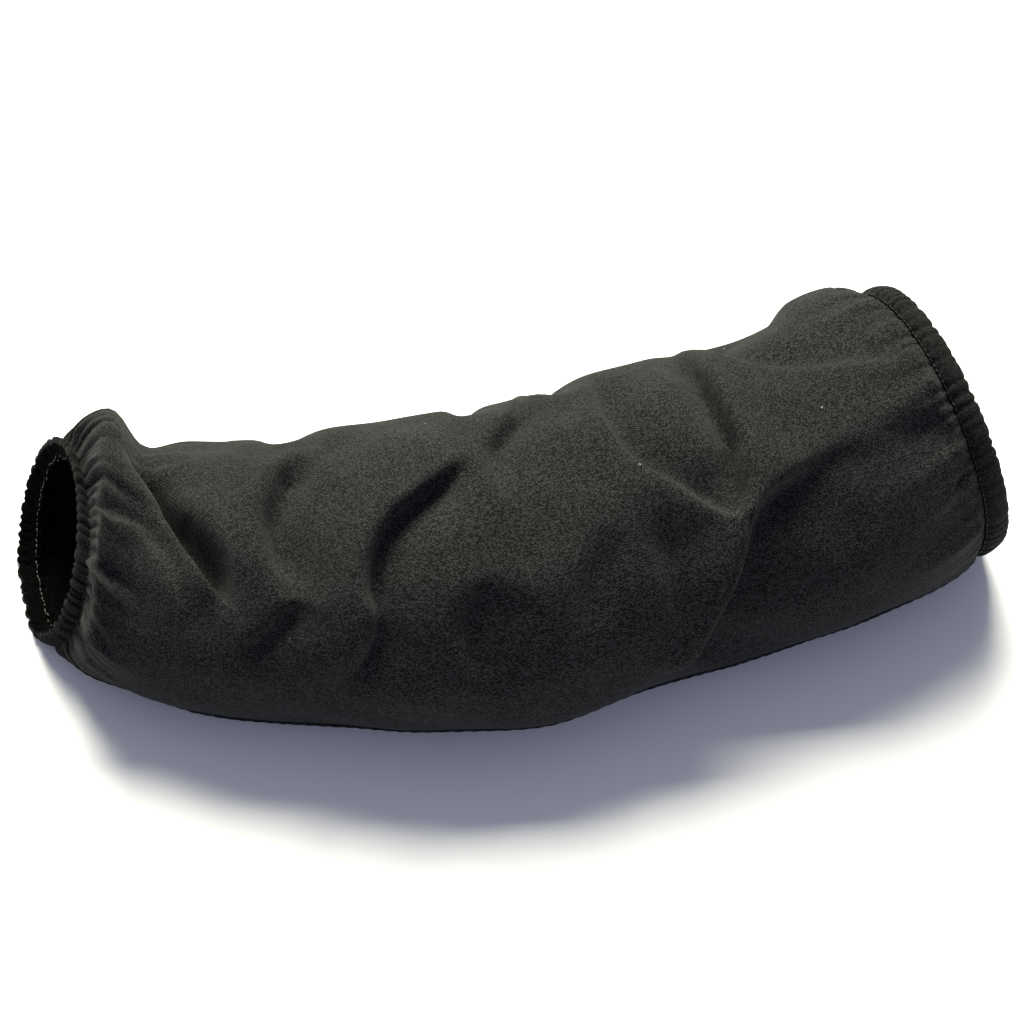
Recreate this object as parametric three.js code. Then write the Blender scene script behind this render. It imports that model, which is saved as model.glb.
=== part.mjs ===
// A cut-resistant work sleeve of heavy twill, lying empty on a flat surface with its tube still puffed open.
// Millimetres, +Z up. The surface is z = 0 and the origin lies on it under the middle of the sleeve's box.
// +X runs from the wrist to the upper arm, and the sleeve bends at the elbow towards +Y.
//
// Every piece is drawn on one map of the sleeve:
//   along   distance in mm from the wrist rim, following the middle line
//   around  degrees round a section: 0 at the near side (-Y), 90 on top, 180 at the far side, 270 below
import * as THREE from 'three';

// Driving dimensions
const LENGTH = 444;
const CASING = 13;
const WALL = 1.8;
const GAP = 1;
const BOX_MIDDLE = { x: -3.9, y: -1.3 };

// Grid of the body's wall
const BODY_ROWS = 62;
const BODY_COLUMNS = 38;
const TOP_CROWDING = 0.4;
const END_CROWDING = 0.25;

// Side seam: a felled strip low on the near side, inside one cell of the grid.
//   foot, crest  shares of the cell's breadth that the strip covers on the cloth and on its own top
const SEAM = { column: 23, foot: 0.6, crest: 0.46, gap: 0.4, thickness: 1.1 };

// One row for each section of the tube.
//   x, y     place of the section's middle on the surface below it
//   turn     heading of the middle line, in degrees from +X
//   width    across the tube, height from the surface to the top
//   sag      how much of the round section is pressed flat by the surface
//   lean     travel along the tube for each mm of height, which tilts the rims
const SECTIONS = [
  { along: 0, x: -220.5, y: -7, turn: 15.5, width: 94, height: 82, sag: 3, lean: 0.45 },
  { along: 13, x: -212.5, y: -11, turn: 16, width: 98, height: 84, sag: 4, lean: 0.38 },
  { along: 21, x: -206.5, y: -14.5, turn: 12, width: 107, height: 96, sag: 6, lean: 0.33 },
  { along: 32, x: -196, y: -18.5, turn: 4, width: 119, height: 105.5, sag: 8, lean: 0.22 },
  { along: 56, x: -168, y: -23.5, turn: -7, width: 131, height: 89, sag: 10, lean: 0.06 },
  { along: 99, x: -126, y: -31.5, turn: -6, width: 143, height: 95, sag: 12, lean: 0 },
  { along: 139, x: -86, y: -34, turn: -3, width: 148, height: 105, sag: 12, lean: 0 },
  { along: 187, x: -38, y: -36.5, turn: 1, width: 157, height: 115, sag: 12, lean: 0 },
  { along: 228, x: 3, y: -32, turn: 10, width: 162, height: 116, sag: 12, lean: 0 },
  { along: 269, x: 41, y: -17, turn: 19, width: 158, height: 119, sag: 12, lean: 0 },
  { along: 323, x: 92, y: 2, turn: 21, width: 155, height: 118, sag: 12, lean: 0 },
  { along: 373, x: 138, y: 17.5, turn: 22, width: 154, height: 120, sag: 12, lean: -0.03 },
  { along: 414, x: 176, y: 37, turn: 22, width: 149, height: 126, sag: 11, lean: -0.09 },
  { along: 431, x: 194.5, y: 45.5, turn: 22, width: 137, height: 128, sag: 8, lean: -0.17 },
  { along: LENGTH, x: 207.5, y: 51.5, turn: 22, width: 130, height: 128, sag: 6, lean: -0.21 },
];

// One row for each fold of the cloth.
//   run      places [along, around] on the line where the cloth drops from its ridge into its dip
//   edge     half the breadth of the drop, where the run starts and where it ends
//   back     how far the ridge falls away behind the line, and reach how far the dip rises ahead of it
//   crest    height of the ridge on the right of the run, trough depth of the dip on its left
//   fade     shares of the run over which the fold rises at its start and dies at its end
const FOLDS = [
  { name: 'wrist_pouf', run: [[40, 185], [41, 160], [42, 138], [43, 122], [45, 111], [48, 105],
      [53, 101], [64, 88], [75, 76], [87, 64], [93, 57], [99, 52], [106, 45]],
    edge: [11, 10], back: 20, reach: 18, crest: 6, trough: 10, fade: [0.1, 0.25] },
  { name: 'wrist_bank', run: [[110, 40], [105, 52], [101, 62], [94, 71], [84, 80], [71, 90], [58, 100],
      [50, 107]],
    edge: [11, 10], back: 20, reach: 18, crest: 3, trough: 4, fade: [0.3, 0.2] },
  { name: 'wrist_arch', run: [[21, 65], [39, 69], [53, 74], [64, 68], [72, 62], [82, 48], [87, 39],
      [94, 30]],
    edge: [7, 7], back: 11, reach: 8, crest: 2, trough: 5.5, fade: [0.1, 0.3] },
  { name: 'wrist_pucker', run: [[22, 36], [36, 40], [50, 46], [64, 45]],
    edge: [7, 7], back: 8, reach: 6, crest: 1.5, trough: 3.5, fade: [0.1, 0.4] },
  { name: 'wrist_low_pucker', run: [[18, 9], [30, 12], [42, 12], [52, 8]],
    edge: [7, 7], back: 7, reach: 6, crest: 1.5, trough: 3.5, fade: [0.1, 0.4] },
  { name: 'far_forearm_dip', run: [[100, 190], [104, 152], [111, 122]],
    edge: [7, 7], back: 14, reach: 15, crest: 0, trough: 7, fade: [0.3, 0.3] },
  { name: 'forearm_dip', run: [[129, 118], [121, 104], [118, 92], [117, 80], [122, 66], [131, 53],
      [142, 40]],
    edge: [7, 7], back: 18, reach: 15, crest: 4.5, trough: 14, fade: [0.2, 0.35] },
  { name: 'forearm_low', run: [[136, 50], [128, 42], [119, 33], [108, 22]],
    edge: [7, 7], back: 15, reach: 13, crest: 3, trough: 7, fade: [0.3, 0.35] },
  { name: 'forearm_line', run: [[133, 124], [139, 112], [145, 101], [154, 88]],
    edge: [7, 7], back: 10, reach: 9, crest: 2, trough: 4, fade: [0.3, 0.4] },
  { name: 'elbow_crease', run: [[210, 103], [199, 95], [184, 84], [172, 75], [166, 63], [165, 52],
      [168, 42], [166, 30], [159, 19], [150, 8]],
    edge: [7, 7], back: 22, reach: 16, crest: 5.5, trough: 12, fade: [0.2, 0.25] },
  { name: 'elbow_line', run: [[246, 150], [238, 121], [227, 112], [218, 105], [216, 97], [218, 89],
      [221, 79], [225, 66]],
    edge: [7, 7], back: 14, reach: 10, crest: 3, trough: 6, fade: [0.2, 0.4] },
  { name: 'elbow_low', run: [[211, 57], [204, 48], [200, 38], [201, 26], [205, 14], [211, 3]],
    edge: [7, 7], back: 18, reach: 18, crest: 4, trough: 8, fade: [0.25, 0.35] },
  { name: 'elbow_soft', run: [[254, 64], [249, 54], [243, 43], [241, 30], [243, 14]],
    edge: [7, 7], back: 15, reach: 11, crest: 3, trough: 5.5, fade: [0.35, 0.4] },
  { name: 'elbow_soft_second', run: [[279, 62], [275, 50], [275, 36], [274, 20], [270, 6]],
    edge: [7, 7], back: 14, reach: 12, crest: 2.5, trough: 5, fade: [0.35, 0.4] },
  { name: 'dent_edge', run: [[286, 132], [281, 119], [277, 105], [277, 91], [281, 80], [288, 72],
      [297, 63], [309, 52]],
    edge: [7, 7], back: 15, reach: 13, crest: 3.5, trough: 9, fade: [0.25, 0.12] },
  { name: 'dent_crease', run: [[311, 50], [318, 60], [321, 68], [325, 77], [326, 88], [327, 100],
      [330, 120], [336, 160]],
    edge: [7, 7], back: 15, reach: 10, crest: 4, trough: 12, fade: [0.06, 0.2] },
  { name: 'upper_plane', run: [[398, 56], [371, 63], [343, 58], [328, 53], [319, 46], [313, 38],
      [307, 29], [299, 20], [290, 8], [282, -3], [274, -12]],
    edge: [7, 7], back: 17, reach: 32, crest: 7, trough: 12, fade: [0.25, 0.12] },
  { name: 'top_crease', run: [[340, 150], [351, 121], [368, 108], [388, 97], [408, 87], [422, 80]],
    edge: [7, 7], back: 12, reach: 16, crest: 1, trough: 7, fade: [0.08, 0.4] },
  { name: 'arm_dimple', run: [[436, 55], [424, 57], [406, 61], [388, 65]],
    edge: [7, 7], back: 9, reach: 14, crest: 1, trough: 7, fade: [0.1, 0.5] },
  { name: 'arm_pucker', run: [[436, 35], [426, 33], [418, 29], [409, 20]],
    edge: [7, 7], back: 8, reach: 7, crest: 2, trough: 4.5, fade: [0.1, 0.5] },
  { name: 'far_elbow_dip', run: [[196, 192], [201, 152], [206, 122]],
    edge: [7, 7], back: 12, reach: 12, crest: 1, trough: 9, fade: [0.3, 0.4] },
  { name: 'far_elbow_notch', run: [[252, 195], [257, 152], [262, 120]],
    edge: [7, 7], back: 12, reach: 14, crest: 1, trough: 10.5, fade: [0.3, 0.4] },
  { name: 'upper_hump', run: [[384, 150], [408, 150], [440, 146]],
    edge: [40, 40], back: 32, reach: 32, crest: 6, trough: -6, fade: [0.35, 0.12] },
];

// Puckers of the body beside each casing: two waves round the section. They rise from the stitches
// over the rise and die away over the reach.
const PUCKERS = [
  { end: 'wrist', waves: [13, 8], height: [1.5, 1.2], phase: [0.7, 2.2], rise: 7, reach: 18 },
  { end: 'arm', waves: [12, 7], height: [1.2, 1.0], phase: [1.7, 0.2], rise: 7, reach: 20 },
];

// Gathered casings: a closed ring of doubled cloth, with a pleat for each gather.
//   profile  corners [distance from the rim, offset from the tube's surface], round the ring's wall
const CASING_PROFILE = [[CASING, -1], [6.5, 1.6], [0, 0.2], [1.2, -1.8], [CASING, -2.2]];
const CASING_FLOOR = 2.4;
const CASINGS = [
  { name: 'wrist_casing', end: 'wrist', gathers: 48, pleat: 1.0 },
  { name: 'arm_casing', end: 'arm', gathers: 48, pleat: 0.7 },
];

// Two samples make one pleat of a casing
const PLEAT_SAMPLES = 2;
const RUN_STEPS_PER_LEG = 5;

// Distance from the stitches over which the folds gain their full height
const LOOSE_REACH = 12;

const SECTION_COLUMNS = ['x', 'y', 'turn', 'width', 'height', 'sag', 'lean'];

// Smooth step from 0 to 1.
function easeIn(share) {
  const t = THREE.MathUtils.clamp(share, 0, 1);
  return t * t * (3 - 2 * t);
}

// Slope of one column of the section table at row i, weighted by the neighbouring steps.
function columnSlope(column, i) {
  const step = (a, b) => SECTIONS[b].along - SECTIONS[a].along;
  const rise = (a, b) => (SECTIONS[b][column] - SECTIONS[a][column]) / step(a, b);
  const last = SECTIONS.length - 1;
  if (i === 0) return rise(0, 1);
  if (i === last) return rise(last - 1, last);
  return (rise(i, i + 1) * step(i - 1, i) + rise(i - 1, i) * step(i, i + 1)) / step(i - 1, i + 1);
}

// Values of every section column at one place along the sleeve, by cubic pieces through the table's rows.
function sectionAt(along) {
  let i = 0;
  while (i < SECTIONS.length - 2 && along >= SECTIONS[i + 1].along) i += 1;
  const step = SECTIONS[i + 1].along - SECTIONS[i].along;
  const t = (along - SECTIONS[i].along) / step;
  const section = {};
  for (const column of SECTION_COLUMNS) {
    section[column] = (2 * t ** 3 - 3 * t ** 2 + 1) * SECTIONS[i][column]
      + (t ** 3 - 2 * t ** 2 + t) * step * columnSlope(column, i)
      + (3 * t ** 2 - 2 * t ** 3) * SECTIONS[i + 1][column]
      + (t ** 3 - t ** 2) * step * columnSlope(column, i + 1);
  }
  return section;
}

// Short straight legs of a fold's run, drawn through its places as one smooth curve.
function runLegs(run) {
  const places = run.map(([along, around]) => new THREE.Vector2(along, around));
  const curve = new THREE.SplineCurve(places);
  return curve.getPoints(RUN_STEPS_PER_LEG * (run.length - 1));
}

const FOLD_LEGS = new Map(FOLDS.map((fold) => [fold.name, runLegs(fold.run)]));

// Nearest place of a fold's run: distance in mm, positive on the left, and the share of the run gone by.
function nearestOnRun(legs, along, around, mmPerDegree) {
  const arounds = legs.map((leg) => leg.y);
  const middle = (Math.min(...arounds) + Math.max(...arounds)) / 2;
  const px = along;
  const py = (THREE.MathUtils.euclideanModulo(around - middle + 180, 360) - 180) * mmPerDegree;
  let best = { distance: Infinity, side: 1, share: 0 };
  for (let k = 0; k < legs.length - 1; k += 1) {
    const ax = legs[k].x;
    const ay = (legs[k].y - middle) * mmPerDegree;
    const dx = legs[k + 1].x - ax;
    const dy = (legs[k + 1].y - middle) * mmPerDegree - ay;
    const t = THREE.MathUtils.clamp(((px - ax) * dx + (py - ay) * dy) / (dx * dx + dy * dy), 0, 1);
    const ex = px - ax - t * dx;
    const ey = py - ay - t * dy;
    const distance = Math.hypot(ex, ey);
    if (distance < best.distance) {
      best = { distance, side: Math.sign(dx * ey - dy * ex), share: (k + t) / (legs.length - 1) };
    }
  }
  return { distance: best.side * best.distance, share: best.share };
}

// Height that all folds add at one place: a ridge on the right of each run and a dip on its left.
function foldRelief(along, around, mmPerDegree) {
  let relief = 0;
  for (const fold of FOLDS) {
    const { distance, share } = nearestOnRun(FOLD_LEGS.get(fold.name), along, around, mmPerDegree);
    const edge = THREE.MathUtils.lerp(fold.edge[0], fold.edge[1], share);
    const strength = easeIn(share / fold.fade[0]) * easeIn((1 - share) / fold.fade[1]);
    const ahead = 0.5 + 0.5 * Math.tanh(distance / edge);
    const ridge = fold.crest * (1 - ahead) * Math.exp(-((distance / fold.back) ** 2));
    const dip = fold.trough * ahead * Math.exp(-((distance / fold.reach) ** 2));
    relief += (ridge - dip) * strength;
  }
  return relief;
}

// Share of their height that the folds have at one place: none at the stitches of the casings.
function looseness(along) {
  return easeIn((along - CASING - GAP) / LOOSE_REACH) * easeIn((LENGTH - CASING - GAP - along) / LOOSE_REACH);
}

// Height that the puckers beside the casings add at one place.
function puckerRelief(along, around) {
  const angle = THREE.MathUtils.degToRad(around);
  let relief = 0;
  for (const pucker of PUCKERS) {
    const fromCasing = pucker.end === 'wrist' ? along - CASING : LENGTH - CASING - along;
    const wave = pucker.waves.reduce(
      (sum, waves, i) => sum + pucker.height[i] * Math.cos(waves * angle + pucker.phase[i]), 0);
    relief += wave * easeIn(fromCasing / pucker.rise) * Math.exp(-((fromCasing / pucker.reach) ** 2));
  }
  return relief;
}

// One point of the cloth: a section pressed flat on the surface below, raised outwards by the relief.
// floor is the least height that this face of the cloth may have.
function clothPoint(along, around, relief, floor) {
  const section = sectionAt(along);
  const angle = THREE.MathUtils.degToRad(around);
  const halfWidth = section.width / 2;
  const halfHeight = (section.height + section.sag) / 2;
  const outwards = new THREE.Vector2(-Math.cos(angle) / halfWidth, Math.sin(angle) / halfHeight).normalize();
  const aside = -halfWidth * Math.cos(angle) + relief * outwards.x;
  const round = halfHeight * (1 + Math.sin(angle)) - section.sag + relief * outwards.y;
  const height = Math.max(round, floor);
  const shift = section.lean * (height - section.height / 2);
  const heading = THREE.MathUtils.degToRad(section.turn);
  return new THREE.Vector3(
    section.x + Math.cos(heading) * shift - Math.sin(heading) * aside - BOX_MIDDLE.x,
    section.y + Math.sin(heading) * shift + Math.cos(heading) * aside - BOX_MIDDLE.y,
    height,
  );
}

// Length of one degree round a section, on the tube's mean circle.
function mmPerDegreeAt(along) {
  const { width, height, sag } = sectionAt(along);
  return Math.PI * (width + height + sag) / 2 / 360;
}

// Angle of one column of the body's grid. Columns lie closer on top, where the folds are.
function columnAngle(column) {
  const turn = 2 * Math.PI * column / BODY_COLUMNS;
  return 90 + THREE.MathUtils.radToDeg(turn - TOP_CROWDING * Math.sin(turn));
}

// Distance along the sleeve of one row of the body's grid. Rows lie closer at the gathered ends.
function rowAlong(row) {
  const share = row / (BODY_ROWS - 1);
  const crowded = share - END_CROWDING * Math.sin(2 * Math.PI * share) / (2 * Math.PI);
  return THREE.MathUtils.lerp(CASING + GAP, LENGTH - CASING - GAP, crowded);
}

// Outer face of the body: one loop of points for each row of the grid.
function bodyGrid() {
  const columns = Array.from({ length: BODY_COLUMNS }, (_, column) => columnAngle(column));
  return Array.from({ length: BODY_ROWS }, (_, row) => {
    const along = rowAlong(row);
    return columns.map((around) => {
      const folds = looseness(along) * foldRelief(along, around, mmPerDegreeAt(along));
      return clothPoint(along, around, folds + puckerRelief(along, around), 0);
    });
  });
}

// Direction square to a flat loop of points, pointing towards the upper arm.
function loopAxis(loop) {
  const axis = new THREE.Vector3();
  const turn = new THREE.Vector3();
  loop.forEach((point, i) => axis.sub(turn.crossVectors(point, loop[(i + 1) % loop.length])));
  return axis.normalize();
}

// Outward direction of the cloth at one point of the grid, from its neighbours.
// At the two end rows it stays in the flat of the row, so that the cut ends of the cloth are flat too.
function outwardsAt(grid, row, column) {
  const loop = grid[row];
  const inside = row > 0 && row < grid.length - 1;
  const forwards = inside
    ? new THREE.Vector3().subVectors(grid[row + 1][column], grid[row - 1][column])
    : loopAxis(loop);
  const left = loop[(column + loop.length - 1) % loop.length];
  const right = loop[(column + 1) % loop.length];
  return forwards.cross(new THREE.Vector3().subVectors(right, left)).normalize();
}

// The same grid moved outwards by an offset, or inwards if it is negative.
function offsetGrid(grid, offset) {
  return grid.map((loop, row) => loop.map(
    (point, column) => point.clone().addScaledVector(outwardsAt(grid, row, column), offset)));
}

// Closed geometry of a grid of points that wraps round in both directions.
// grid[i][j] holds ring j of loop i, with the outer side on the left of growing j seen along growing i.
function wrappedGrid(grid) {
  const loops = grid.length;
  const rings = grid[0].length;
  const positions = grid.flat().flatMap((point) => point.toArray());
  const index = [];
  for (let i = 0; i < loops; i += 1) {
    for (let j = 0; j < rings; j += 1) {
      const a = i * rings + j;
      const b = ((i + 1) % loops) * rings + j;
      const c = ((i + 1) % loops) * rings + (j + 1) % rings;
      const d = i * rings + (j + 1) % rings;
      index.push(a, b, c, a, c, d);
    }
  }
  return indexedGeometry(positions, index);
}

function indexedGeometry(positions, index) {
  const geometry = new THREE.BufferGeometry();
  geometry.setAttribute('position', new THREE.Float32BufferAttribute(positions, 3));
  geometry.setIndex(index);
  geometry.computeVertexNormals();
  return geometry;
}

// The tube's wall: the outer face from wrist to arm, then the inner face back again.
function bodyGeometry() {
  return wrappedGrid([...BODY_GRID, ...offsetGrid(BODY_GRID, -WALL).reverse()]);
}

// A casing: the profile of its doubled wall carried round the rim, with every second sample drawn in.
function casingGeometry({ end, gathers, pleat }) {
  const samples = gathers * PLEAT_SAMPLES;
  const loops = CASING_PROFILE.map(([fromRim, offset]) => {
    const along = end === 'wrist' ? fromRim : LENGTH - fromRim;
    return Array.from({ length: samples }, (_, i) => {
      const ripple = i % PLEAT_SAMPLES === 0 ? pleat / 2 : -pleat / 2;
      const floor = offset > 0 ? 0 : CASING_FLOOR;
      return clothPoint(along, 90 + 360 * i / samples, offset + ripple, floor);
    });
  });
  return wrappedGrid(end === 'wrist' ? loops.reverse() : loops);
}

// The side seam: a strip that follows one cell of the body's grid, a hair above the cloth.
function seamGeometry() {
  const { column, foot, crest, gap, thickness } = SEAM;
  const low = offsetGrid(BODY_GRID, gap);
  const high = offsetGrid(BODY_GRID, gap + thickness);
  const across = (loop, share) => new THREE.Vector3().lerpVectors(loop[column], loop[column + 1], share);
  const corners = BODY_GRID.map((_, row) => [
    across(low[row], 0.5 - foot / 2),
    across(low[row], 0.5 + foot / 2),
    across(high[row], 0.5 + crest / 2),
    across(high[row], 0.5 - crest / 2),
  ]);
  const positions = corners.flat().flatMap((point) => point.toArray());
  const index = [];
  const sides = 4;
  const last = (BODY_ROWS - 1) * sides;
  for (let start = 0; start < last; start += sides) {
    for (let k = 0; k < sides; k += 1) {
      const a = start + k;
      const b = start + (k + 1) % sides;
      index.push(a, b, b + sides, a, b + sides, a + sides);
    }
  }
  index.push(0, 2, 1, 0, 3, 2, last, last + 1, last + 2, last, last + 2, last + 3);
  return indexedGeometry(positions, index);
}

function twill(colour) {
  return new THREE.MeshStandardMaterial({ color: colour, roughness: 0.95, metalness: 0 });
}

function namedMesh(name, geometry, material) {
  const mesh = new THREE.Mesh(geometry, material);
  mesh.name = name;
  return mesh;
}

const BODY_GRID = bodyGrid();

const sleeve = new THREE.Group();
sleeve.name = 'cut_resistant_sleeve';
sleeve.add(namedMesh('sleeve_body', bodyGeometry(), twill(0x3a3b3c)));
for (const casing of CASINGS) {
  sleeve.add(namedMesh(casing.name, casingGeometry(casing), twill(0x28292a)));
}
sleeve.add(namedMesh('side_seam', seamGeometry(), twill(0x2f3031)));

export default sleeve;
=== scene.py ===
import bpy
import numpy as np
from bpy.props import FloatProperty, FloatVectorProperty, IntProperty, PointerProperty
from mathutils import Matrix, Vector


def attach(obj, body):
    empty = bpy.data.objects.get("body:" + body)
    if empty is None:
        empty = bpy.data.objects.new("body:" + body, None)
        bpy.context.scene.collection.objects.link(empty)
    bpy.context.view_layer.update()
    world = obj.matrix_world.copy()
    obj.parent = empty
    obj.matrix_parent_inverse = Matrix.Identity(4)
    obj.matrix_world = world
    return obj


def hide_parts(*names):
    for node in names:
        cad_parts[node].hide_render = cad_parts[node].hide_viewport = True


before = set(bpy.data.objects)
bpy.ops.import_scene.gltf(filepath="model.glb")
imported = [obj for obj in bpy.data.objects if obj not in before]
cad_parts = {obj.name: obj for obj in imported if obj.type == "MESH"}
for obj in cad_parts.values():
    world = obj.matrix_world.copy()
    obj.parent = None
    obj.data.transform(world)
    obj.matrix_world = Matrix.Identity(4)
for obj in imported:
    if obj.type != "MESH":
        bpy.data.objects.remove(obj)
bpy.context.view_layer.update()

bl_info = {
    "name": "Cut-Resistant Sleeve",
    "version": (1, 0, 0),
    "blender": (4, 5, 0),
    "location": "3D View > Sidebar > Sleeve",
    "description": "A gathered work sleeve of dark twill, lying puffed open on a pale floor",
    "category": "Object",
}

BODY = "root"
MM = 0.001

# The tables below are in millimetres and degrees, on one map of the sleeve:
#   along   distance from the wrist rim, following the middle line
#   around  angle round a section: 0 at the near side (-Y), 90 on top, 180 at the far side, 270 below
LENGTH = 444.0
RIMS = dict(wrist=0.0, arm=LENGTH)
CASING = 13.0
GAP = 0.1
BOX_MIDDLE = (-3.9, -1.3)

# Columns of the grids lie closest at this side, and by these shares closer than the mean
DENSE_SIDE = 70.0
COLUMN_CROWDING = 0.45
CASING_CROWDING = 0.3

# Where the body's rows lie closer: place along the sleeve, how far that reaches, and how many more rows there
# are, as a share of the others
CLOSE_ROWS = ((13, 9, 1.2), (431, 9, 1.2), (310, 30, 0.9), (75, 35, 0.8), (150, 40, 0.2))
DENSITY_SAMPLES = 2000

# One row for each section of the tube.
#   x, y    place of the section's middle on the floor
#   turn    heading of the middle line from +X
#   width   across the tube, and height from the floor to the top
#   sag     how much of the round section the floor presses flat
#   lean    travel along the tube for each mm of height, which tilts the rims
SECTION_COLUMNS = ("x", "y", "turn", "width", "height", "sag", "lean")
SECTION_ALONG = np.array([0, 13, 21, 32, 56, 99, 139, 187, 228, 269, 323, 373, 414, 431, LENGTH])
SECTIONS = np.array([
    (-220.5, -7, 15.5, 94, 82, 3, 0.45),
    (-212.5, -11, 16, 98, 84, 4, 0.38),
    (-206.5, -14.5, 12, 107, 96, 6, 0.33),
    (-196, -18.5, 4, 119, 105.5, 8, 0.22),
    (-168, -23.5, -7, 131, 89, 10, 0.06),
    (-126, -31.5, -6, 143, 95, 12, 0),
    (-86, -34, -3, 148, 105, 12, 0),
    (-38, -36.5, 1, 157, 115, 12, 0),
    (3, -32, 10, 162, 116, 12, 0),
    (41, -17, 19, 158, 119, 12, 0),
    (92, 2, 21, 155, 118, 12, 0),
    (138, 17.5, 22, 154, 120, 12, -0.03),
    (176, 37, 22, 149, 126, 11, -0.09),
    (194.5, 45.5, 22, 137, 128, 8, -0.17),
    (207.5, 51.5, 22, 130, 128, 6, -0.21),
])

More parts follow.
